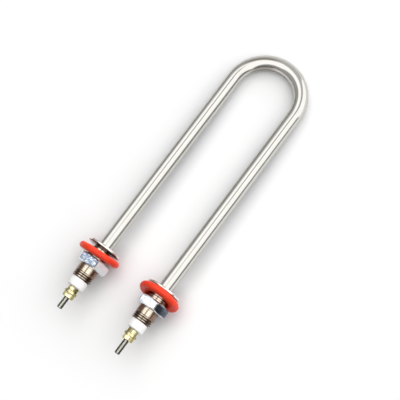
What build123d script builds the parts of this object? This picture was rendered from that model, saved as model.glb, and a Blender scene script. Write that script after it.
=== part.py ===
from build123d import *

import os
from math import asin, cos, degrees, radians, sin, sqrt, tan

# A tubular immersion heating element. A steel sheath bent to a U holds a resistance coil in
# packed magnesia. Each leg leaves through a threaded bush with a flange, a loose silicone ring,
# a lock nut, a ceramic insulator and a threaded terminal pin with two nuts and two washers.
#
# The element lies as it rests on a table, on the rims of its two rings and the outside of its
# bend. +Y points along the legs to the bend, +X from the left leg to the right one, +Z up, and
# the origin is on the table under the middle of the bounding box.
# Lengths are in millimetres and angles in degrees.

# Sheath tube
tube_od = 10.0
tube_wall = 0.8
leg_spacing = 50.0  # between the centrelines of the legs
immersed_length = 176.7  # from the flanges' sealing faces to the outside of the bend

# Threads. Where a thread is free it is drawn at its crest diameter. Where a nut is on it, both
# are drawn at its pitch diameter, with a small gap between them.
pitch_diameter_drop = 0.65  # crest diameter less pitch diameter, in pitches
thread_depth_share = 0.61  # depth of an outside thread, in pitches
thread_fit = 0.05

# Threaded bush, M14 x 1.5, with its sealing flange
thread_od = 14.0
thread_pitch = 1.5
thread_length = 25.3  # from the sealing face to the open end
flange_od = 24.5
flange_thickness = 1.4
flange_edge = 0.35  # chamfer on the flange's rim
bush_fit = 0.05  # radial gap between the sheath and the bush's bore

# Silicone sealing ring, loose between the flange and the nut
ring_od = 30.0
ring_bore = 15.6
ring_thickness = 4.6
ring_rounding = 2.0
ring_standoff = 4.5  # from the sealing face to the middle of the ring
ring_sag = 0.3  # how far the bush hangs below the middle of the ring
left_ring_yaw = 2.5
left_ring_pitch = 6.5
right_ring_yaw = 2.0
right_ring_pitch = -8.5

# Lock nut
nut_across_flats = 21.0
nut_height = 6.8
nut_standoff = 8.6  # from the sealing face to the nut
nut_face_od = 20.0  # the round face inside the bevelled corners
nut_bore_bevel = 1.0
nut_bevel_angle = 30.0
left_nut_turn = 4.0
right_nut_turn = 8.0

# Ceramic insulator and the seal behind it
ceramic_od = 12.0
ceramic_height = 6.5
ceramic_rounding = 1.0
spigot_length = 4.0
spigot_fit = 0.15  # radial gap between the insulator's spigot and the sheath
seal_length = 6.0
inner_fit = 0.05  # radial gap round everything packed inside the sheath

# Terminal pin, its M4 stud, and what is screwed on it
stud_od = 4.0
shank_od = 3.5  # the stud's thread is rolled on the shank, so this is its pitch diameter too
stud_hole_fit = 0.15  # radial gap between the stud and the holes that it passes through
left_stud_free_length = 8.6
right_stud_free_length = 10.9
stud_tip = 0.6
cold_length = 62.0  # from the sheath's open end to the start of the coil
coil_seat_od = 3.0
coil_seat_length = 8.0
terminal_nut_across_flats = 7.0
terminal_nut_height = 3.3
terminal_nut_face_od = 6.6
terminal_nut_bore_bevel = 0.35
washer_od = 9.0
washer_thickness = 0.8
left_inner_nut_turn = 10.0
left_outer_nut_turn = -12.0
right_inner_nut_turn = 20.0
right_outer_nut_turn = 5.0

# Resistance coil
coil_wire = 0.6

bend_radius = leg_spacing / 2
bush_pitch_radius = (thread_od - pitch_diameter_drop * thread_pitch) / 2
sheath_bore = tube_od - 2 * tube_wall
flange_station = immersed_length - bend_radius - tube_od / 2  # bend's centre to sealing face
leg_length = flange_station + thread_length
ceramic_end = thread_length + ceramic_height
outer_nut_station = ceramic_end + terminal_nut_height + 2 * washer_thickness
stud_free_station = outer_nut_station + terminal_nut_height
longer_stud = max(left_stud_free_length, right_stud_free_length)
pin_reach = flange_station + stud_free_station + longer_stud  # from the centre of the bend
coil_start = thread_length - cold_length
coil_inner_radius = coil_seat_od / 2 + inner_fit
coil_leg = leg_length - cold_length

# The bush hangs in the rings, so the legs slope down from there to the bend.
ring_station = flange_station + ring_standoff
rest_tilt = degrees(asin((ring_od / 2 - ring_sag - tube_od / 2) / (bend_radius + ring_station)))


def turned(*outline):
    """A solid of revolution about Z, from the (radius, height) corners of its outline."""
    return revolve(Plane.XZ * make_face(Polyline(*outline, close=True)), Axis.Z)


def along_u(section, leg):
    """A section swept up the left leg, round the bend and down the right leg."""
    left = (-bend_radius, -leg, 0)
    right = (bend_radius, -leg, 0)
    path = Line(left, (-bend_radius, 0, 0))
    path += ThreePointArc((-bend_radius, 0, 0), (0, bend_radius, 0), (bend_radius, 0, 0))
    path += Line((bend_radius, 0, 0), right)
    return sweep(Plane(left, x_dir=(1, 0, 0), z_dir=(0, 1, 0)) * section, path=path)


def leg_frame(side):
    """A leg's frame: origin in the sealing face, +Z out along the pin, +Y up from the U."""
    return Plane((side * bend_radius, -flange_station, 0), x_dir=(1, 0, 0), z_dir=(0, -1, 0))


def sheath_tube():
    """The steel tube, bent to a U and open at both ends."""
    return along_u(Circle(tube_od / 2) - Circle(sheath_bore / 2), leg_length)


def heating_coil():
    """The coil's closed envelope: a tube as wide as its turns, with the wire's thickness."""
    return along_u(Circle(coil_inner_radius + coil_wire) - Circle(coil_inner_radius), coil_leg)


def terminal_pin(stud_free_length):
    """The cold pin: a seat for the coil, a plain shank and the stud's free end."""
    seat, shank, stud = coil_seat_od / 2, shank_od / 2, stud_od / 2
    tip = stud_free_station + stud_free_length
    return turned(
        (0, coil_start - coil_seat_length),
        (seat, coil_start - coil_seat_length),
        (seat, coil_start),
        (shank, coil_start),
        (shank, stud_free_station),
        (stud, stud_free_station),
        (stud, tip - stud_tip),
        (stud - stud_tip, tip),
        (0, tip),
    )


def insulation_fill():
    """Magnesia packed between the sheath, the coil and the pins, and down the coil's middle."""
    fill_end = thread_length - spigot_length - seal_length
    fill = along_u(Circle(sheath_bore / 2 - inner_fit), flange_station + fill_end)
    fill -= along_u(Circle(coil_inner_radius + coil_wire + inner_fit), coil_leg)
    well_top = (Align.CENTER, Align.CENTER, Align.MAX)
    shank_well = Cylinder(shank_od / 2 + inner_fit, fill_end - coil_start, align=well_top)
    for side in (-1, 1):
        fill -= leg_frame(side) * Pos(0, 0, fill_end) * shank_well
    core_leg = coil_leg - coil_seat_length - inner_fit
    return fill + along_u(Circle(coil_inner_radius - inner_fit), core_leg)


def threaded_bush():
    """The turned bush on the sheath: a flange, a thread relief and the M14 thread."""
    bore = tube_od / 2 + bush_fit
    crest, rim = thread_od / 2, flange_od / 2
    thread_depth = thread_depth_share * thread_pitch
    relief = crest - thread_depth
    return turned(
        (bore, -flange_thickness),
        (rim - flange_edge, -flange_thickness),
        (rim, flange_edge - flange_thickness),
        (rim, -flange_edge),
        (rim - flange_edge, 0),
        (relief, 0),
        (relief, thread_pitch),
        (crest, thread_pitch + thread_depth),
        (crest, nut_standoff),
        (bush_pitch_radius, nut_standoff),
        (bush_pitch_radius, nut_standoff + nut_height),
        (crest, nut_standoff + nut_height),
        (crest, thread_length - thread_depth),
        (relief, thread_length),
        (bore, thread_length),
    )


def sealing_ring():
    """The silicone ring, centred on its own origin, with a rounded rim and bore."""
    width = (ring_od - ring_bore) / 2
    section = RectangleRounded(width, ring_thickness, ring_rounding)
    return revolve(Plane.XZ * Pos((ring_od + ring_bore) / 4, 0) * section, Axis.Z)


def hex_nut(across_flats, height, face_od, pitch_radius, bore_bevel):
    """A hexagon nut from Z = 0 up, with its corners and its bore bevelled on both faces."""
    prism = extrude(RegularPolygon(across_flats / 2, 6, major_radius=False), height)
    bore, face = pitch_radius + thread_fit, face_od / 2
    bevels_meet = face + height / 2 / tan(radians(nut_bevel_angle))
    blank = turned(
        (bore, bore_bevel),
        (bore + bore_bevel, 0),
        (face, 0),
        (bevels_meet, height / 2),
        (face, height),
        (bore + bore_bevel, height),
        (bore, height - bore_bevel),
    )
    return prism & blank


def ceramic_insulator():
    """The insulator: a body on the bush's end, a spigot in the sheath and a bore for the pin."""
    bore = stud_od / 2 + stud_hole_fit
    body, spigot = ceramic_od / 2, sheath_bore / 2 - spigot_fit
    insulator = turned(
        (bore, thread_length - spigot_length),
        (spigot, thread_length - spigot_length),
        (spigot, thread_length),
        (body, thread_length),
        (body, ceramic_end),
        (bore, ceramic_end),
    )
    outer_rim = insulator.edges().filter_by(GeomType.CIRCLE).group_by(Axis.Z)[-1][-1]
    return fillet(outer_rim, ceramic_rounding)


def end_seal():
    """The resin plug that closes the sheath between the fill and the insulator."""
    top = thread_length - spigot_length
    inside, outside = shank_od / 2 + inner_fit, sheath_bore / 2 - inner_fit
    return turned(
        (inside, top - seal_length), (outside, top - seal_length), (outside, top), (inside, top)
    )


def washer():
    """A plain washer from Z = 0 up."""
    bore, rim = stud_od / 2 + stud_hole_fit, washer_od / 2
    return turned((bore, 0), (rim, 0), (rim, washer_thickness), (bore, washer_thickness))


def leg_fittings(name, side, stud_free_length, nut_turn, inner_nut_turn, outer_nut_turn):
    """Everything that one leg carries, apart from its sealing ring."""
    lock_nut = hex_nut(
        nut_across_flats, nut_height, nut_face_od, bush_pitch_radius, nut_bore_bevel
    )
    stud_nut = hex_nut(
        terminal_nut_across_flats,
        terminal_nut_height,
        terminal_nut_face_od,
        shank_od / 2,
        terminal_nut_bore_bevel,
    )
    inner_washer_station = ceramic_end + terminal_nut_height
    outer_washer_station = inner_washer_station + washer_thickness
    fittings = {
        "threaded_bush": threaded_bush(),
        "lock_nut": Pos(0, 0, nut_standoff) * Rot(0, 0, nut_turn) * lock_nut,
        "ceramic_insulator": ceramic_insulator(),
        "end_seal": end_seal(),
        "terminal_pin": terminal_pin(stud_free_length),
        "inner_terminal_nut": Pos(0, 0, ceramic_end) * Rot(0, 0, inner_nut_turn) * stud_nut,
        "inner_terminal_washer": Pos(0, 0, inner_washer_station) * washer(),
        "outer_terminal_washer": Pos(0, 0, outer_washer_station) * washer(),
        "outer_terminal_nut": Pos(0, 0, outer_nut_station) * Rot(0, 0, outer_nut_turn) * stud_nut,
    }
    frame = leg_frame(side)
    return {f"{name}_{piece}": frame * shape for piece, shape in fittings.items()}


def at_rest():
    """Where the U's own frame goes when the element lies on its rings and its bend."""
    slope = radians(rest_tilt)
    bend_end = bend_radius * cos(slope) + tube_od / 2
    pin_end = pin_reach * cos(slope)
    lift = tube_od / 2 + bend_radius * sin(slope)
    return Pos(0, (pin_end - bend_end) / 2, lift) * Rot(-rest_tilt, 0, 0)


def standing_ring(side, yaw, pitch):
    """A sealing ring askew on its bush, with its rim on the table."""
    place = at_rest() * leg_frame(side).location * Pos(0, 0, ring_standoff) * Rot(pitch, yaw, 0)
    lean = Plane(place).z_dir.Z
    flat_radius = ring_od / 2 - ring_rounding
    flat_height = ring_thickness / 2 - ring_rounding
    reach = flat_radius * sqrt(1 - lean**2) + flat_height * abs(lean) + ring_rounding
    return Pos(0, 0, reach - place.position.Z) * place * sealing_ring()


def heating_element():
    """Every piece of the element by name, as it lies on the table."""
    pieces = {
        "sheath_tube": sheath_tube(),
        "insulation_fill": insulation_fill(),
        "heating_coil": heating_coil(),
    }
    pieces |= leg_fittings(
        "left",
        -1,
        left_stud_free_length,
        left_nut_turn,
        left_inner_nut_turn,
        left_outer_nut_turn,
    )
    pieces |= leg_fittings(
        "right",
        1,
        right_stud_free_length,
        right_nut_turn,
        right_inner_nut_turn,
        right_outer_nut_turn,
    )
    pieces = {name: at_rest() * shape for name, shape in pieces.items()}
    pieces["left_sealing_ring"] = standing_ring(-1, left_ring_yaw, left_ring_pitch)
    pieces["right_sealing_ring"] = standing_ring(1, right_ring_yaw, right_ring_pitch)
    return pieces


os.makedirs("parts", exist_ok=True)
for name, shape in heating_element().items():
    export_step(shape, f"parts/{name}.step")
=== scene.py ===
# %% [markdown]
# # A tubular heating element
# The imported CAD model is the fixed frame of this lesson: a bright steel tube bent to a U, with a
# threaded bush, a silicone ring, a lock nut, a ceramic insulator and a brass-nutted pin on each
# leg. We keep every piece where the CAD has it, give each a finish made of shader nodes, and
# remodel the pieces whose charm is in small shapes, such as threads and bevelled corners.

from math import asin, cos, degrees, hypot, pi, radians, sin, tan

import bmesh
import bpy
from mathutils import Matrix, Vector


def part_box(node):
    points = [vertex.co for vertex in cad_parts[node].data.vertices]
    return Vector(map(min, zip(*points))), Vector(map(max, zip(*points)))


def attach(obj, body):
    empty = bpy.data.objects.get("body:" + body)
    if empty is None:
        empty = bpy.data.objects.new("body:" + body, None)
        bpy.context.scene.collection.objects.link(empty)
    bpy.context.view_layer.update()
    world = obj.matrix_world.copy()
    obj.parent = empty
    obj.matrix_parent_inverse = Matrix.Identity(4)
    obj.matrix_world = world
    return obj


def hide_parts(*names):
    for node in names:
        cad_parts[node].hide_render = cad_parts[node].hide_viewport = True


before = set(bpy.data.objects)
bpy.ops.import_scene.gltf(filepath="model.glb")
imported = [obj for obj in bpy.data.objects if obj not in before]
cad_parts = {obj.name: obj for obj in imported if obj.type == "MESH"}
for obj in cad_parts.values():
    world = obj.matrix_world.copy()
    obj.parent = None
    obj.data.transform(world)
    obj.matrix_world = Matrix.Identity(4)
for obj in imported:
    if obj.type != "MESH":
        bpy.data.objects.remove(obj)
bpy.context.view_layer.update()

# %% [markdown]
# ## The element's own frame
# The U lies on the rims of its rings and on its bend, so it slopes a little. A piece could be
# modelled where it lies, but all its numbers would then be crooked. It is easier to model and to
# paint in the U's own frame, and to put each finished mesh in place with one matrix. The sizes are
# the real ones, in millimetres.

# %% The sizes that the pieces share
MM = 0.001
legs = ((-1, "left"), (1, "right"))
tube_radius = 5.0
bend_radius = 25.0
flange_station = 146.7  # from the bend's centre to the sealing face of a bush
nut_low, nut_high = 8.6, 15.4  # from the sealing face outwards, as are the next three
thread_end = 25.3
ceramic_end = 31.8
stud_ends = {"left": 48.6, "right": 50.9}
ring_standoff = 4.5
ring_radius = 15.0
bush_sag = 0.3  # how far a bush's axis lies below the middle of its ring

bush_rise = ring_radius - bush_sag - tube_radius  # how much higher the bushes lie than the bend
slope = asin(bush_rise / (bend_radius + flange_station + ring_standoff))
print("the legs slope by", round(degrees(slope), 4), "degrees")

# %% [markdown]
# The first matrix tilts the U and sets its bend on the floor, with the middle of its length at the
# origin. The second stands a leg's frame on the sealing face of its bush, with Z outwards, because
# everything on a leg is turned or pressed round that axis.

# %% From a leg to the scene
pin_reach = flange_station + stud_ends["right"]
shift = (pin_reach * cos(slope) - bend_radius * cos(slope) - tube_radius) / 2
lift = tube_radius + bend_radius * sin(slope)
at_rest = Matrix.Translation((0, shift, lift)) @ Matrix.Rotation(-slope, 4, "X")
out_along_the_leg = Matrix(((1, 0, 0, 0), (0, 0, -1, 0), (0, 1, 0, 0), (0, 0, 0, 1)))


def leg_place(side):
    """From a leg's frame in millimetres, Z outwards from the sealing face, to the scene."""
    foot = Matrix.Translation((side * bend_radius, -flange_station, 0))
    return Matrix.Scale(MM, 4) @ at_rest @ foot @ out_along_the_leg


tip = leg_place(1) @ Vector((0, 0, stud_ends["right"]))
print("right pin tip at", [round(c, 4) for c in tip])

# %% [markdown]
# ## Sums on shader sockets
# A finish is mostly arithmetic on coordinates. Wiring each Math node by hand would bury that
# arithmetic, so one small class stands for the socket that carries a value: a sum can be written
# as it is thought, and each operator adds its Math node.


# %% A value that sums can be done with
class Value:
    def __init__(self, nodes, socket):
        self.nodes, self.socket = nodes, socket

    def __add__(self, other):
        return self.nodes.math("ADD", self, other)

    __radd__ = __add__

    def __sub__(self, other):
        return self.nodes.math("SUBTRACT", self, other)

    def __rsub__(self, other):
        return self.nodes.math("SUBTRACT", other, self)

    def __mul__(self, other):
        return self.nodes.math("MULTIPLY", self, other)

    __rmul__ = __mul__

    def __truediv__(self, other):
        return self.nodes.math("DIVIDE", self, other)

    def __rtruediv__(self, other):
        return self.nodes.math("DIVIDE", other, self)


# %% [markdown]
# One builder adds every other node: its type, then its settings, then what its sockets hold. The
# same builder serves materials and the studio's world.


# %% A builder for node trees
class Nodes:
    def __init__(self, owner):
        owner.use_nodes = True
        self.tree = owner.node_tree
        self.tree.nodes.clear()

    def put(self, socket, value):
        if isinstance(value, Value):
            value = value.socket
        if isinstance(value, bpy.types.NodeSocket):
            self.tree.links.new(value, socket)
        else:
            socket.default_value = value

    def node(self, kind, settings=None, sockets=None):
        made = self.tree.nodes.new(kind)
        for name, value in (settings or {}).items():
            setattr(made, name, value)
        for name, value in (sockets or {}).items():
            self.put(made.inputs[name], value)
        return made

    def math(self, operation, *values):
        made = self.node("ShaderNodeMath", {"operation": operation}, dict(enumerate(values)))
        return Value(self, made.outputs[0])


# %% [markdown]
# Some kinds of nodes come up again and again: noise, a blend of two colours, and above all a soft
# step, which says where something begins or ends. Each gets a method of its own. A Color Ramp
# could make the steps too, but a Map Range takes its limits in millimetres.


# %% Steps, blends and noise
class Patterns(Nodes):
    def smooth(self, value, low, high):
        """Runs smoothly from zero to one while value runs from low to high."""
        made = self.node(
            "ShaderNodeMapRange", {"interpolation_type": "SMOOTHSTEP"},
            {"Value": value, "From Min": low, "From Max": high},
        )
        return Value(self, made.outputs[0])

    def beyond(self, value, border, soft):
        """One where value is above a border, zero where it is below, with a soft step between."""
        return self.smooth(value, border - soft, border + soft)

    def within(self, value, middle, outer, inner):
        """One where value is nearer to middle than inner, and zero past outer."""
        return self.smooth(self.math("ABSOLUTE", value - middle), outer, inner)

    def mix(self, factor, one, other):
        """Blends two colours."""
        made = self.node("ShaderNodeMix", {"data_type": "RGBA"}, {0: factor, 6: one, 7: other})
        return made.outputs[2]

    def split(self, vector):
        made = self.node("ShaderNodeSeparateXYZ", None, {0: vector})
        return [Value(self, out) for out in made.outputs]

    def join(self, x, y, z):
        return self.node("ShaderNodeCombineXYZ", None, {0: x, 1: y, 2: z}).outputs[0]

    def noise(self, vector, scale, detail, roughness=0.5):
        made = self.node(
            "ShaderNodeTexNoise", None,
            {"Vector": vector, "Scale": scale, "Detail": detail, "Roughness": roughness},
        )
        return Value(self, made.outputs[0])


# %% [markdown]
# ## What a finish is
# A finish is one Principled shader with that builder round it. Its coordinates are the object's
# own, in millimetres, so a pattern stays where it is when the camera moves. Drawing marks and
# painted shade follow the tube round its bend, where no straight axis does, so a second set of
# coordinates follows the tube's centreline.

# %% A finish for a material slot
top_lean = 0.2  # the middle of the strip painted brightest, as lit, leans a little to the right


def paint(*channels):
    """A colour with its alpha."""
    return (*channels, 1.0)


class Finish(Patterns):
    def __init__(self, name, **constants):
        self.material = bpy.data.materials.new(name)
        super().__init__(self.material)
        self.shader = self.node("ShaderNodeBsdfPrincipled")
        surface = self.node("ShaderNodeOutputMaterial")
        self.put(surface.inputs["Surface"], self.shader.outputs[0])
        self.on(**constants)
        spot = self.node("ShaderNodeTexCoord").outputs["Object"]
        in_mm = {"Vector": spot, "Scale": (1 / MM, 1 / MM, 1 / MM)}
        self.spot = self.node("ShaderNodeMapping", None, in_mm).outputs[0]

    def on(self, **sockets):
        for socket, value in sockets.items():
            self.put(self.shader.inputs[socket.replace("_", " ")], value)

    def bump(self, height, distance, strength=1.0):
        made = self.node(
            "ShaderNodeBump", None, {"Height": height, "Distance": distance, "Strength": strength}
        )
        self.on(Normal=made.outputs[0])

    def along_the_u(self):
        """Across, above and along the tube's centreline, and the leg's side, in millimetres."""
        back = at_rest.inverted()
        turned_back = {"Rotation": back.to_euler(), "Location": back.translation}
        flat = self.node("ShaderNodeMapping", None, {"Vector": self.spot, **turned_back})
        x, y, above = self.split(flat.outputs[0])
        side = self.math("SIGN", x)
        past = self.math("MAXIMUM", y, 0.0)
        reach = self.math("SQRT", x * x + past * past)
        turned = self.math("ARCTAN2", x * side, past + 0.001)
        along = self.math("MINIMUM", y, 0.0) + bend_radius * (pi / 2 - turned)
        return (reach - bend_radius) * side, above, along, side

    def lean(self, across, above):
        """Zero on the crown of a leg, one on its right side and minus one on its left side."""
        return across / self.math("SQRT", across * across + above * above)

    def flank(self, across, above, low, high):
        """Zero along the strip of a leg painted as lit, and one on both its sides, where shade is
        painted.
        """
        away = self.math("ABSOLUTE", self.lean(across, above) - top_lean)
        return self.smooth(away, low, high)


finishes = {}


def keep(finish):
    """Files a finish under its slot's name."""
    finishes[finish.material.name.split(".")[0]] = finish
    print(finish.material.name, "is made of", len(finish.tree.nodes), "nodes")


# %% [markdown]
# ## The camera
# A long lens from a metre away keeps the two legs nearly parallel, where a short one from near by
# would make the fittings look huge. It looks down from above the fittings, turned so that the legs
# run up to the right. Its place and its axes are given in the U's frame and laid down with it.

# %% Set the camera
camera = bpy.data.objects.new("camera", bpy.data.cameras.new("camera"))
bpy.context.scene.collection.objects.link(camera)
camera.data.sensor_width = 36.0
camera.data.lens = 146.987
camera.data.clip_start, camera.data.clip_end = 0.05, 20.0
camera_spot = (308.241, -272.982, 1023.284)
view_right = Vector((0.796169, 0.592275, -0.1238))
view_back = Vector((0.277453, -0.17553, 0.944569))
turn = Matrix((view_right, view_back.cross(view_right), view_back)).transposed().to_4x4()
stand = at_rest @ Matrix.Translation(camera_spot) @ turn
camera.matrix_world = Matrix.Translation(stand.translation * MM) @ stand.to_3x3().to_4x4()
bpy.context.scene.camera = camera
bpy.context.scene.view_settings.view_transform = "Standard"
print("camera", [round(c, 3) for c in camera.location], "lens", camera.data.lens)

# %% [markdown]
# ## The studio
# Bright metal shows the room more than itself, so the room is drawn with care. Lamps and cards
# could stand in it, but in the world each direction already has its x, y and z, and soft steps on
# those numbers bound a softbox exactly. This one hangs overhead. Its right half reaches down to
# the floor behind the object, and a thin gap parts the halves there.

# %% Hang the softbox
world = bpy.data.worlds.new("studio")
bpy.context.scene.world = world
room = Patterns(world)
x, y, z = room.split(room.node("ShaderNodeTexCoord").outputs["Generated"])

right_half = room.beyond(x, 0.08, 0.08)
left_edge = room.beyond(0.88 * x + 0.47 * y, -0.55, 0.09)
front_edge = room.beyond(y - 0.15 * x, -0.66, 0.09)
back_edge = room.beyond(0.60 + 0.5 * x + right_half - y, 0.0, 0.1)
right_edge = room.beyond(0.9 + room.beyond(y, 0.4, 0.1) - x, 0.0, 0.07)
softbox = left_edge * front_edge * back_edge * right_edge

gap_side = 0.13 + 0.12 * room.beyond(y, 0.35, 0.1) - 0.08 * room.beyond(y, 0.75, 0.15)
gap = room.beyond(x, -0.10, 0.04) * room.beyond(gap_side - x, 0.0, 0.04)
softbox = softbox * (1 - gap * room.beyond(y, 0.19, 0.04))
print("the softbox takes", len(world.node_tree.nodes), "nodes")

# %% [markdown]
# Round the softbox, the walls are a half tone, lighter behind and darker in front on the right. On
# both sides the horizon is nearly black, which gives the tube its dark edges. An even grey wall
# would be simpler, but a mirror with nothing dark to show looks like plastic.

# %% Tone the walls
softbox_level = 1.5
wall = 0.44 + 0.22 * room.beyond(y, 0.5, 0.4) - 0.14 * room.beyond(0.6 * x - 0.8 * y, 0.75, 0.2)
horizon = room.beyond(x * x, 0.65, 0.2) * room.beyond(0.17 - z, 0.0, 0.06)
wall = wall * (1 - 0.8 * horizon)
mirrored = wall + (softbox_level - wall) * softbox
print("mirrors see the softbox at", softbox_level, "times white")

# %% [markdown]
# Metal needs contrast in the room, and paper needs an even light whose shadows have a soft side
# and a definite one. Is Diffuse Ray, of the Light Path node, tells the two apart: matt surfaces
# get a plain light from one broad field overhead, at a level that leaves a colour about as it is
# written. Lamps linked to some pieces alone could do it too, with more objects to place.

# %% Light the matt surfaces
field = room.beyond(x, -0.65, 0.08) * room.beyond(0.82 - x, 0.0, 0.08) * room.beyond(y, -0.36, 0.1)
field_level = 1.9
matt = Value(room, room.node("ShaderNodeLightPath").outputs["Is Diffuse Ray"])
glow = mirrored + matt * (field_level * field - mirrored)
neutral = room.math("MAXIMUM", softbox, matt)
tint = room.mix(neutral, paint(1.0, 0.99, 0.98), paint(1.0, 1.0, 1.0))
lit = room.node("ShaderNodeBackground", None, {"Color": tint, "Strength": glow})
room.node("ShaderNodeOutputWorld", None, {"Surface": lit.outputs[0]})
print("world nodes", len(world.node_tree.nodes))

# %% [markdown]
# ## The floor
# The floor is a sheet of white paper in the same light, and it takes the object's soft shadow. So
# wide a light leaves too little shade close under the legs. A smaller lamp would deepen it but
# harden all the rest, so the paper itself darkens a little where Ambient Occlusion finds something
# near, and less so at the bend, which lies on it.

# %% Lay the floor
floor_mesh = bmesh.new()
bmesh.ops.create_grid(floor_mesh, x_segments=1, y_segments=1, size=1.2)
floor = bpy.data.objects.new("floor", bpy.data.meshes.new("floor"))
floor_mesh.to_mesh(floor.data)
floor_mesh.free()
bpy.context.scene.collection.objects.link(floor)

sheet = Finish("white_sheet", Roughness=0.9, Specular_IOR_Level=0.1)
grain = sheet.noise(sheet.spot, 0.02, 3.0)
paper = sheet.mix(grain, paint(0.90, 0.90, 0.90), paint(0.92, 0.92, 0.92))
near = sheet.node("ShaderNodeAmbientOcclusion", {"samples": 8}, {"Distance": 0.014})
shade = sheet.smooth(Value(sheet, near.outputs["AO"]), 1.0, 0.45)
sheet_y = sheet.split(sheet.spot)[1]
shade = shade * (0.3 + 0.7 * sheet.smooth(sheet_y, 95.0, 35.0))
sheet.on(Base_Color=sheet.mix(shade, paper, paint(0.70, 0.71, 0.725)))
floor.data.materials.append(sheet.material)
print("the sheet is", round(max(v.co.x for v in floor.data.vertices) * 2, 2), "m wide")

# %% [markdown]
# ## Sheath steel
# The sheath is stainless tube, drawn through a die and polished, so its fine marks run lengthwise.
# Noise on coordinates that hardly change along the tube gives such streaks, where plain noise would
# look cast. On the left half of the bend, inside and on top, two strips are darkened in colour: a
# painted dark reflection, standing in for the shaded floor and room that the bend mirrors. It could
# be painted on a texture, but a few soft steps place it as well and need no unwrapping.

# %% Streak the sheath and paint dark reflections on its bend
steel = Finish("sheath_steel", Metallic=1.0, Specular_Tint=paint(0.7, 0.68, 0.64))
across, above, along, side = steel.along_the_u()
drawn = steel.noise(steel.join(across * 2.2, above * 2.2, along * 0.06 + side * 40), 1.0, 4.0)
marks = steel.noise(steel.spot, 0.12, 3.0)
colour = steel.mix(0.5 * drawn + 0.5 * marks, paint(0.60, 0.585, 0.55), paint(0.71, 0.695, 0.665))

outward = across * side
inside_strip = steel.smooth(outward, -3.5, -4.2)
top_strip = steel.smooth(outward, -0.6, 0.3) * steel.smooth(outward, 2.3, 0.9)
left_half = steel.smooth(side, 0.5, -0.5)
on_the_bend = steel.smooth(along, 7.0, 18.0) * steel.smooth(along, 38.0, 28.0)
# Painted dark reflection: the inside and top strips on the left half of the bend are darkened.
painted_dark_reflection = (inside_strip + top_strip) * left_half * on_the_bend
steel.on(
    Base_Color=steel.mix(0.85 * painted_dark_reflection, colour, paint(0.30, 0.28, 0.24)),
    Roughness=0.07 + 0.07 * drawn,
)
steel.bump(drawn, 0.000004, 0.6)
keep(steel)

# %% [markdown]
# ## Bush bronze
# The bushes are turned from bronze-coloured bar. Their top keeps a lit colour and their sides
# are painted with shade, with one thin painted dark reflection along the top. The room could be
# darkened for them, but the sheath shows the same room. So the metal has a lit and a shaded
# colour, and the slope of the surface says which, with an edge that wanders with the marks.

# %% Paint the bushes lit on top and shaded on their sides
bronze = Finish("bush_bronze", Metallic=1.0)
across, above, along = bronze.along_the_u()[:3]
marks = bronze.noise(bronze.spot, 0.9, 4.0)
lit_top = bronze.mix(marks, paint(0.66, 0.55, 0.43), paint(0.84, 0.76, 0.64))
# Painted shade: the sides take a dark colour, and the lit top keeps the bright one.
shaded_sides = bronze.flank(across + 2.5 * (marks - 0.5), above, 0.28, 0.55)
colour = bronze.mix(shaded_sides, lit_top, paint(0.26, 0.17, 0.12))
lean = bronze.lean(across, above)
# Painted dark reflection: one thin dark line along the top of each bush.
painted_dark_line = bronze.within(lean, top_lean, 0.09, 0.03)
colour = bronze.mix(0.65 * painted_dark_line, colour, paint(0.20, 0.13, 0.09))
print("the bright and the brown take", len(bronze.tree.nodes), "nodes")

# %% [markdown]
# Painted shade darkens each bush where light hardly reaches: in the relief and the roots of the
# thread, on the right side of its last turns and on the flange's two faces. The flange's rim gets
# a painted highlight. A node that finds hollows would darken other corners too, so all of these
# are bands of radius or of length.

# %% Paint shade in the bushes' hollows and a highlight on the flange's rim
flange_radius = 12.25
rim_start = flange_radius - 0.3
# Painted shade for the last turns, the relief and the thread roots.
shade_bronze = paint(0.09, 0.055, 0.035)
radius = bronze.math("SQRT", across * across + above * above)
shade_start = -flange_station - 20.5
last_turns = bronze.smooth(along, shade_start, shade_start - 0.8)
last_turns = last_turns * bronze.smooth(lean, 0.1, 0.6)
colour = bronze.mix(0.45 * last_turns, colour, shade_bronze)
groove = bronze.smooth(radius, 6.95, 6.5) * bronze.smooth(radius, 5.4, 5.7)
colour = bronze.mix(0.9 * groove, colour, shade_bronze)
# Painted shade on the flange's two faces.
face = bronze.smooth(radius, 7.3, 7.8) * bronze.smooth(radius, rim_start, rim_start - 0.25)
colour = bronze.mix(0.9 * face, colour, paint(0.17, 0.085, 0.055))
# Painted highlight: the flange's rim is made bright.
rim = bronze.smooth(radius, rim_start, rim_start + 0.15)
colour = bronze.mix(rim, colour, paint(0.90, 0.84, 0.79))
bronze.on(Base_Color=colour, Roughness=0.10 + 0.12 * marks)
keep(bronze)

# %% [markdown]
# ## Silicone
# The rings are moulded orange-red silicone. It could be given scattering below its surface, but it
# isn't clear enough to show any, and a deep base colour with a weak, broad highlight renders
# faster. Darker specks and a shallow bump break the plastic look that an even colour would have.

# %% Speck the silicone
silicone = Finish("ring_silicone", Specular_IOR_Level=0.26)
marks = silicone.noise(silicone.spot, 0.5, 6.0)
colour = silicone.mix(marks, paint(0.80, 0.026, 0.008), paint(0.98, 0.072, 0.020))
specks = silicone.smooth(silicone.noise(silicone.spot, 0.9, 3.0), 0.54, 0.68)
silicone.on(
    Base_Color=silicone.mix(0.4 * specks, colour, paint(0.42, 0.015, 0.006)),
    Roughness=0.30 + 0.2 * marks,
)
silicone.bump(silicone.noise(silicone.spot, 1.2, 3.0), 0.00012)
keep(silicone)
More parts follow.
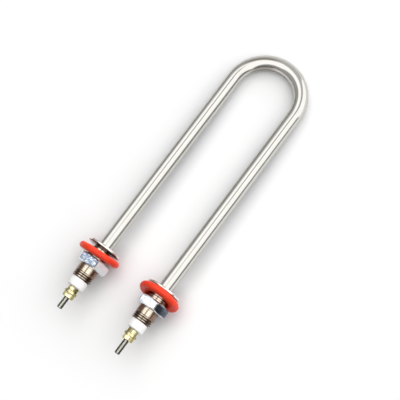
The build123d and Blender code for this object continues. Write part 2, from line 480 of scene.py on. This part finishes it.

# %% [markdown]
# ## Zinc
# Each lock nut is zinc-plated steel, bright and bluish, and no two faces look alike. The left
# nut is mottled on top and has a pale bloom on its right face, and the right nut's right face has
# painted shade on it, dark but for its edges. Each nut could have a material of its own, but one
# slot is one finish, so a face is picked out by how high it lies, on which side and on which leg.

# %% Mottle the zinc and paint shade on the right nut's right face
zinc = Finish("nut_zinc", Metallic=1.0)
across, above, along, side = zinc.along_the_u()
marks = zinc.noise(zinc.spot, 0.55, 5.0, roughness=0.65)
topside = zinc.smooth(above, 9.7, 10.2)
left_nut = zinc.smooth(side, 0.5, -0.5)
right_face = (1 - topside) * zinc.smooth(across, 4.0, 5.0)
bloom = right_face * left_nut
dull = zinc.smooth(marks + topside * (0.20 * left_nut - 0.06) - 0.14 * bloom, 0.40, 0.70)
colour = zinc.mix(dull, paint(0.92, 0.94, 0.97), paint(0.25, 0.31, 0.41))
nut_middle = -flange_station - (nut_low + nut_high) / 2
off_the_edges = zinc.within(along, nut_middle, 3.0, 2.5)
# Painted shade: the right nut's right face goes dark, all but its edges.
dark = right_face * (1 - left_nut) * off_the_edges * (1 - 0.3 * marks)
zinc.on(
    Base_Color=zinc.mix(dark, colour, paint(0.035, 0.05, 0.085)),
    Metallic=1 - 0.6 * bloom,
    Roughness=0.10 + 0.12 * dull + 0.25 * bloom,
)
zinc.bump(marks, 0.00006, 0.6)
keep(zinc)

# %% [markdown]
# ## Ceramic
# The insulators are white steatite, a ceramic that is fired to a soft sheen. One colour and one
# roughness would do at a distance, but near by they look like paper, so noise blends two colours
# that are close to each other, and roughens the sheen with them.


# %% Fire the ceramic
def mottled(name, grain, detail, colours, smoothest, spread, **constants):
    """A finish that wanders between two colours, rougher towards the second."""
    made = Finish(name, **constants)
    marks = made.noise(made.spot, grain, detail)
    made.on(Base_Color=made.mix(marks, *colours), Roughness=smoothest + spread * marks)
    keep(made)


white = (paint(0.93, 0.93, 0.92), paint(0.97, 0.97, 0.965))
mottled("insulator_ceramic", 0.9, 4.0, white, 0.3, 0.2)

# %% [markdown]
# ## What is inside
# Dark red resin seals the sheath's ends, and pressed pale magnesia holds the coil of resistance
# wire. None of it shows, so plain grey would do here, but a cut through the element may show it
# later, and the ceramic's recipe makes all three.

# %% Fill the sheath
mottled("seal_resin", 1.0, 3.0, (paint(0.30, 0.04, 0.02), paint(0.38, 0.06, 0.03)), 0.3, 0.2)
mottled("magnesia", 3.0, 5.0, (paint(0.70, 0.69, 0.66), paint(0.86, 0.85, 0.82)), 0.8, 0.15)
grey = (paint(0.30, 0.28, 0.26), paint(0.42, 0.40, 0.38))
mottled("coil_wire", 2.0, 3.0, grey, 0.4, 0.2, Metallic=1.0)

# %% [markdown]
# ## Pin steel and brass
# The pins are dull plated steel, and the small nuts and washers are pale brass. Both keep a lit
# colour on top and have shade painted on their sides, as the bushes do. The bronze could be tinted
# for them, but its painted dark line and its painted shade in the hollows belong to the bushes
# alone, so these two share a simpler recipe.


# %% Paint shade on the sides of pins and brass
def dark_sided(name, grain, colours, shade_colour, shade_range, wander, smoothest, spread):
    """A mottled metal with shade painted on its sides, with a border that wanders."""
    made = Finish(name, Metallic=1.0)
    across, above = made.along_the_u()[:2]
    marks = made.noise(made.spot, grain, 4.0)
    # Painted shade: the sides take the shade colour, and the top keeps the lit mottle.
    shaded_sides = made.flank(across + wander * (marks - 0.5), above, *shade_range)
    colour = made.mix(shaded_sides, made.mix(marks, *colours), shade_colour)
    made.on(Base_Color=colour, Roughness=smoothest + spread * marks)
    keep(made)


dark_sided(
    "pin_steel", grain=1.5, colours=(paint(0.52, 0.50, 0.44), paint(0.80, 0.78, 0.72)),
    shade_colour=paint(0.11, 0.11, 0.085), shade_range=(0.10, 0.55), wander=0.8,
    smoothest=0.14, spread=0.12,
)
dark_sided(
    "terminal_brass", grain=1.2, colours=(paint(0.84, 0.74, 0.40), paint(1.0, 0.95, 0.68)),
    shade_colour=paint(0.42, 0.36, 0.13), shade_range=(0.40, 0.72), wander=1.6,
    smoothest=0.08, spread=0.10,
)

# %% [markdown]
# The CAD nodes carry their slots' names, so each takes its finish by name. The sheath and all that
# is inside it stay as the CAD has them, because a smooth tube gains nothing from a new mesh.

# %% Give each CAD node its finish
for name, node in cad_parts.items():
    for slot in node.material_slots:
        slot.material = finishes[slot.material.name.split(".")[0]].material
print(len(finishes), "finishes on", len(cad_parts), "nodes")

# %% [markdown]
# ## Turned pieces
# A bush, a washer or an insulator is turned on a lathe, and the lathe of a mesh modeller is the
# spin operator. The outline is drawn as a wire in the XZ plane, its corners are rounded with a
# vertex bevel, and one full turn about Z with merging closes the surface. A cylinder with bevelled
# edges would do too, but a wire holds the whole outline in one list.


# %% A wire, its round corners, and the lathe
def wire(points, closed=True):
    """A bmesh with the (radius, height) points joined in turn, and its vertices in order."""
    mesh = bmesh.new()
    corners = [mesh.verts.new((radius, 0, height)) for radius, height in points]
    ends = corners[1:] + corners[:1] if closed else corners[1:]
    for one, other in zip(corners, ends):
        mesh.edges.new((one, other))
    return mesh, corners


def round_corners(mesh, corners, width, segments=3):
    bmesh.ops.bevel(
        mesh, geom=corners, offset=width, offset_type="OFFSET", segments=segments, profile=0.5,
        affect="VERTICES", material=-1, clamp_overlap=True,
    )


def turn_on_lathe(mesh, steps):
    bmesh.ops.spin(
        mesh, geom=mesh.verts[:] + mesh.edges[:], cent=(0, 0, 0), axis=(0, 0, 1), dvec=(0, 0, 0),
        angle=2 * pi, steps=steps, use_merge=True,
    )
    close_seams(mesh)


def close_seams(mesh):
    bmesh.ops.remove_doubles(mesh, verts=mesh.verts[:], dist=0.001)
    bmesh.ops.recalc_face_normals(mesh, faces=mesh.faces[:])


# %% [markdown]
# A finished mesh goes from its leg's frame to the scene in one transform, rides on the only body,
# and stands for its CAD node. Faces that meet at a sharp angle keep a crisp edge, because the mesh
# is shaded smooth by angle. The print says how far the piece stands out of its node's box.


# %% Finish a piece
def make_piece(name, mesh, place, slot, node, crisp=35):
    mesh.transform(place)
    data = bpy.data.meshes.new(name)
    mesh.to_mesh(data)
    mesh.free()
    data.shade_smooth()
    data.set_sharp_from_angle(angle=radians(crisp))
    piece = bpy.data.objects.new(name, data)
    bpy.context.scene.collection.objects.link(piece)
    data.materials.append(finishes[slot].material)
    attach(piece, "root")
    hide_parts(node)
    low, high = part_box(node)
    spots = [v.co for v in data.vertices]
    proud = max(max(low[i] - spot[i], spot[i] - high[i]) for spot in spots for i in range(3))
    print(name, len(data.polygons), "faces, beyond its node by mm:", round(proud / MM, 3))


# %% [markdown]
# ## Threads
# The spin operator takes a shift along with each step. A wire that spans one pitch, turned with a
# shift of one pitch per turn, meets its own last turn exactly, so merging its doubles leaves one
# continuous screw surface. Two planes cut it to length. A stack of grooved rings would be simpler,
# but it has no lead, which shows where a thread ends.


# %% Cut a thread
def screw_surface(crest, root, pitch, low, high, crest_share, steps):
    """An open screw surface between the heights low and high."""
    flank = (1 - crest_share) * 0.38 * pitch
    flat = crest_share * pitch
    first = low - 1.5 * pitch
    mesh = wire(
        [(crest, first), (crest, first + flat), (root, first + flat + flank),
         (root, first + pitch - flank), (crest, first + pitch)],
        closed=False,
    )[0]
    turns = int((high - first) / pitch) + 2
    bmesh.ops.spin(
        mesh, geom=mesh.verts[:] + mesh.edges[:], cent=(0, 0, 0), axis=(0, 0, 1),
        dvec=(0, 0, pitch / steps), angle=2 * pi * turns, steps=turns * steps, use_merge=False,
    )
    bmesh.ops.remove_doubles(mesh, verts=mesh.verts[:], dist=0.001)
    for height, up in ((low, -1), (high, 1)):
        bmesh.ops.bisect_plane(
            mesh, geom=mesh.verts[:] + mesh.edges[:] + mesh.faces[:], dist=0.0001,
            plane_co=(0, 0, height), plane_no=(0, 0, up), clear_outer=True, clear_inner=False,
        )
    print("a thread of", round((high - low) / pitch, 1), "turns,", len(mesh.faces), "faces")
    return mesh


def wear(mesh, kept):
    """Brings each vertex in to the radius that kept gives for its height and its old radius."""
    for vert in mesh.verts:
        reach = hypot(vert.co.x, vert.co.y)
        share = kept(vert.co.z, reach) / reach
        vert.co.x *= share
        vert.co.y *= share


# %% [markdown]
# A thread needs a body under it. The screw surface leaves an open ring at each end, and extruding
# such a ring's edges again and again, each time to a new radius and height, draws the rest of the
# outline. A second mesh could be joined on instead, but its seam would have to be stitched.


# %% Carry an open ring onwards
def ring_at(mesh, height):
    """The open edges that lie at one height."""
    return [
        edge for edge in mesh.edges
        if edge.is_boundary and all(abs(v.co.z - height) < 0.001 for v in edge.verts)
    ]


def extrude(mesh, ring):
    """Extrudes a ring of edges on the spot, and returns its new vertices and edges."""
    made = bmesh.ops.extrude_edge_only(mesh, edges=ring)["geom"]
    fresh = {v for v in made if isinstance(v, bmesh.types.BMVert)}
    return fresh, [e for e in made if isinstance(e, bmesh.types.BMEdge) and set(e.verts) <= fresh]


def carry(mesh, ring, *stations):
    """Extrudes a ring to each (radius, height) in turn, and returns the last ring."""
    for radius, height in stations:
        fresh, ring = extrude(mesh, ring)
        for vert in fresh:
            reach = radius / hypot(vert.co.x, vert.co.y)
            vert.co = (vert.co.x * reach, vert.co.y * reach, height)
    return ring


# %% [markdown]
# ## The threaded bushes
# The real bush is turned from bar, with a flange, a relief behind it and an M14 thread that is
# worn flat on its crests and only deep near its open end. A bump map could draw that, but the
# thread shows in outline too. We cut the screw surface first and wear it down by height. Under the
# nut it is cut back to the pitch line, where nut and thread meet.

# %% Say how a bush's thread is worn
bush_crest, bush_root, bush_pitch = 7.0, 6.0, 1.5
pitch_line = bush_crest - 0.325 * bush_pitch
nut_gap = 0.05  # between the bush's thread and the nut's
shallow_depth = 0.10  # of the full depth, on the turns before the deep ones
deep_start, deep_full = 20.2, 21.4
end_flare = 1.3  # how fast the thread runs out at its open end


def ramp(value, low, high):
    share = min(max((value - low) / (high - low), 0), 1)
    return share * share * (3 - 2 * share)


def worn(height, reach):
    """The radius that the thread keeps: shallow before its last turns, low under the nut."""
    depth = shallow_depth + (1 - shallow_depth) * ramp(height, deep_start, deep_full)
    radius = bush_crest - (bush_crest - reach) * depth
    nut_starts = ramp(height, nut_low + 0.2, nut_low + 0.5)
    under_nut = nut_starts * ramp(height, nut_high - 0.2, nut_high - 0.5)
    radius = min(radius, bush_crest - (bush_crest - pitch_line + nut_gap) * under_nut)
    return min(radius, bush_root + (thread_end - height) * end_flare)


print("root radius under the nut", round(worn((nut_low + nut_high) / 2, bush_root), 3),
      "on a plain turn", round(worn(18.0, bush_root), 3),
      "and on a deep one", round(worn(23.0, bush_root), 3))

# %% [markdown]
# From the thread's foot the ring is carried through the relief and round the flange into the bore,
# with a few short steps for its broken edges. From the open end it is carried into the bore too,
# and bridging the two rings makes the bore. A boolean could drill it, but this keeps its faces
# clean.

# %% Make the bushes
relief_end = 1.9
bore_radius = 5.05
flange_back = -1.4

for side, name in legs:
    mesh = screw_surface(bush_crest, bush_root, bush_pitch, relief_end, thread_end, 0.34, 64)
    wear(mesh, worn)
    bottom, top = ring_at(mesh, relief_end), ring_at(mesh, thread_end)
    inner_foot = carry(
        mesh, bottom, (6.15, 1.5), (6.1, 0.08), (6.2, 0.0), (11.9, 0.0), (12.15, -0.1),
        (flange_radius, -0.35), (flange_radius, -1.05), (12.15, -1.3), (11.9, flange_back),
        (5.3, flange_back), (bore_radius, -1.2),
    )
    inner_top = carry(mesh, top, (5.35, thread_end), (bore_radius, thread_end - 0.25))
    bmesh.ops.bridge_loops(mesh, edges=inner_foot + inner_top)
    close_seams(mesh)
    make_piece(f"{name}_bush", mesh, leg_place(side), "bush_bronze", f"{name}_threaded_bush")

# %% [markdown]
# ## Hexagon nuts
# The arcs on a nut are where a cone cuts its six flats. Cutting a prism with a cone by a boolean
# leaves ragged edges. With enough vertices on the hexagon, each one knows its height on that cone,
# so the exact curve comes from one circle of six sides, subdivided. The ring is then extruded up,
# over the face, down the bore and back.


# %% Shape a nut
def nut(across_flats, height, face_radius, bore, bore_bevel, edge, turned_by):
    """A nut that stands on its lower face, turned by so many degrees."""
    corner_radius = across_flats / 2 / cos(pi / 6)
    to_its_turn = Matrix.Rotation(radians(turned_by + 30), 3, "Z")
    mesh = bmesh.new()
    bmesh.ops.create_circle(mesh, segments=6, radius=corner_radius, cap_ends=False)
    bmesh.ops.subdivide_edges(mesh, edges=mesh.edges[:], cuts=11)
    bmesh.ops.rotate(mesh, verts=mesh.verts[:], matrix=to_its_turn)
    for vert in mesh.verts:
        vert.co.z = (hypot(vert.co.x, vert.co.y) - face_radius) * tan(pi / 6)
    low_arcs = mesh.edges[:]
    raised, high_arcs = extrude(mesh, low_arcs)
    for vert in raised:
        vert.co.z = height - vert.co.z
    corners = [
        e for e in mesh.edges if e not in low_arcs and not set(e.verts) <= raised
        and hypot(*e.verts[0].co.xy) > corner_radius - 0.001
    ]
    last = carry(
        mesh, high_arcs, (face_radius, height), (bore + bore_bevel, height),
        (bore, height - bore_bevel), (bore, bore_bevel), (bore + bore_bevel, 0), (face_radius, 0),
    )
    bmesh.ops.bridge_loops(mesh, edges=last + low_arcs)
    bmesh.ops.recalc_face_normals(mesh, faces=mesh.faces[:])
    bmesh.ops.bevel(
        mesh, geom=corners + low_arcs + high_arcs, offset=edge, offset_type="OFFSET", segments=2,
        profile=0.5, affect="EDGES", material=-1, clamp_overlap=True,
    )
    return mesh


# %% [markdown]
# Each leg has one M14 lock nut and two M4 brass nuts, all of that one shape. Copies could be turned
# by hand, but the function takes the turn along, so that no two nuts line up.

# %% Make the nuts
washer_thickness = 0.8
small_nut_height = 3.3
small_nuts = {  # where each starts, and its turn on the left and on the right leg
    "inner": (ceramic_end, {"left": 10.0, "right": 20.0}),
    "outer": (ceramic_end + small_nut_height + 2 * washer_thickness, {"left": -12.0, "right": 5.0}),
}
lock_turns = {"left": 4.0, "right": 8.0}

for side, name in legs:
    place = leg_place(side)
    lock = nut(
        across_flats=21.0, height=nut_high - nut_low, face_radius=10.0,
        bore=pitch_line + nut_gap, bore_bevel=1.0, edge=0.16, turned_by=lock_turns[name],
    )
    bmesh.ops.translate(lock, verts=lock.verts[:], vec=(0, 0, nut_low))
    make_piece(f"{name}_zinc_nut", lock, place, "nut_zinc", f"{name}_lock_nut", crisp=50)
    for which, (station, turns) in small_nuts.items():
        small = nut(
            across_flats=7.0, height=small_nut_height, face_radius=3.3,
            bore=1.8, bore_bevel=0.35, edge=0.07, turned_by=turns[name],
        )
        bmesh.ops.translate(small, verts=small.verts[:], vec=(0, 0, station))
        make_piece(f"{name}_{which}_brass_nut", small, place, "terminal_brass",
                   f"{name}_{which}_terminal_nut", crisp=50)

# %% [markdown]
# ## The terminal pins
# A pin is drawn steel rod with an M4 thread rolled on its free end. The thread could be a separate
# mesh pushed over a rod, but then the two would overlap. So the part of the pin inside the element
# is carried down from the thread's open ring to the seat that the coil is wound on, the tip is
# worn to a cone, and both ends are capped.

# %% Make the pins
stud_start = 40.0
stud_crest, stud_root, stud_pitch = 2.0, 1.72, 0.7
cone_radius, cone_flare = 1.35, 0.95
shank_radius, shank_end = 1.75, -36.7
seat_radius, seat_end = 1.5, -44.7

for side, name in legs:
    stud_end = stud_ends[name]
    mesh = screw_surface(stud_crest, stud_root, stud_pitch, stud_start, stud_end, 0.3, 32)
    wear(mesh, lambda height, reach: min(reach, cone_radius + (stud_end - height) * cone_flare))
    bottom, top = ring_at(mesh, stud_start), ring_at(mesh, stud_end)
    foot = carry(
        mesh, bottom, (shank_radius, stud_start), (shank_radius, shank_end),
        (seat_radius, shank_end), (seat_radius, seat_end),
    )
    tip_ring = carry(mesh, top, (1.0, stud_end), (0.4, stud_end))
    for ring in (foot, tip_ring):
        bmesh.ops.edgeloop_fill(mesh, edges=ring)
    close_seams(mesh)
    make_piece(f"{name}_stud", mesh, leg_place(side), "pin_steel", f"{name}_terminal_pin")

# %% [markdown]
# ## Washers
# A washer is stamped from sheet and tumbled, so its outer rim is round, and its hole stays sharp. A
# bevel on a finished disc would round both alike. A rectangle with its two outer corners rounded,
# turned on the lathe, is round only outside.

# %% Shape a washer
stud_hole = 2.15
washer_radius = 4.5


def washer():
    """A washer that lies on the plane where Z is zero."""
    mesh, corners = wire([
        (stud_hole, 0), (washer_radius, 0), (washer_radius, washer_thickness),
        (stud_hole, washer_thickness),
    ])
    round_corners(mesh, corners[1:3], 0.22)
    turn_on_lathe(mesh, 64)
    return mesh


# %% [markdown]
# ## Insulators
# An insulator is pressed from powder and fired, so its outer corners are soft, the free one most.
# A spigot goes into the sheath, and the pin passes through both. Two cylinders could be joined,
# but as one more turned outline it has no seam between head and spigot.

# %% Shape an insulator
spigot_radius, spigot_start = 4.05, 21.3
head_radius = 6.0


def insulator():
    """An insulator at its height in a leg's frame."""
    mesh, corners = wire([
        (stud_hole, spigot_start), (spigot_radius, spigot_start), (spigot_radius, thread_end),
        (head_radius, thread_end), (head_radius, ceramic_end), (stud_hole, ceramic_end),
    ])
    round_corners(mesh, [corners[4]], 1.0, 5)
    round_corners(mesh, [corners[3]], 0.35, 3)
    turn_on_lathe(mesh, 96)
    return mesh


# %% [markdown]
# Two washers lie between the brass nuts of each leg, and the insulator is clamped under them. They
# could be stacked by eye, but when each height follows from the pieces below, nothing overlaps.

# %% Make the washers and insulators
first_washer = ceramic_end + small_nut_height
washer_stations = {"inner": first_washer, "outer": first_washer + washer_thickness}

for side, name in legs:
    place = leg_place(side)
    for which, station in washer_stations.items():
        disc = washer()
        bmesh.ops.translate(disc, verts=disc.verts[:], vec=(0, 0, station))
        make_piece(f"{name}_{which}_brass_washer", disc, place, "terminal_brass",
                   f"{name}_{which}_terminal_washer")
    make_piece(f"{name}_insulator", insulator(), place, "insulator_ceramic",
               f"{name}_ceramic_insulator", crisp=60)

# %% [markdown]
# ## The sealing rings
# A silicone ring hangs askew on its bush, with its lowest rim on the floor. The place could be
# found by trial, or by dropping the ring in a simulation. But the lowest point of a tilted disc
# with a round edge has a formula, so the ring is turned first and then lifted by what that says.

# %% Stand a ring on the floor
ring_bore, ring_thickness, ring_rounding = 7.8, 4.6, 2.0
ring_yaw = {"left": 2.5, "right": 2.0}
ring_pitch = {"left": 6.5, "right": -8.5}


def ring_place(side, name):
    """A ring's own frame in the scene, standing on the floor."""
    foot = Matrix.Translation((side * bend_radius, -flange_station, 0))
    lean = Matrix.Rotation(radians(ring_pitch[name]), 4, "X")
    lean = lean @ Matrix.Rotation(radians(ring_yaw[name]), 4, "Y")
    off_face = Matrix.Translation((0, 0, ring_standoff))
    place = at_rest @ foot @ out_along_the_leg @ off_face @ lean
    rise = place.col[2][2]
    flat_radius, flat_height = ring_radius - ring_rounding, ring_thickness / 2 - ring_rounding
    reach = flat_radius * (1 - rise**2) ** 0.5 + flat_height * abs(rise) + ring_rounding
    return Matrix.Scale(MM, 4) @ Matrix.Translation((0, 0, reach - place.translation.z)) @ place


for side, name in legs:
    print(name, "ring's middle at", [round(c, 4) for c in ring_place(side, name).translation])

# %% [markdown]
# Both rings come from one mould: a rounded rectangle, turned about the ring's own axis. A torus
# would be quicker, but its section is a circle and this one is flat on its faces.

# %% Make the rings
for side, name in legs:
    half = ring_thickness / 2
    mesh, corners = wire(
        [(ring_bore, -half), (ring_radius, -half), (ring_radius, half), (ring_bore, half)]
    )
    round_corners(mesh, corners, ring_rounding, 6)
    turn_on_lathe(mesh, 144)
    make_piece(f"{name}_ring", mesh, ring_place(side, name), "ring_silicone",
               f"{name}_sealing_ring", crisp=80)
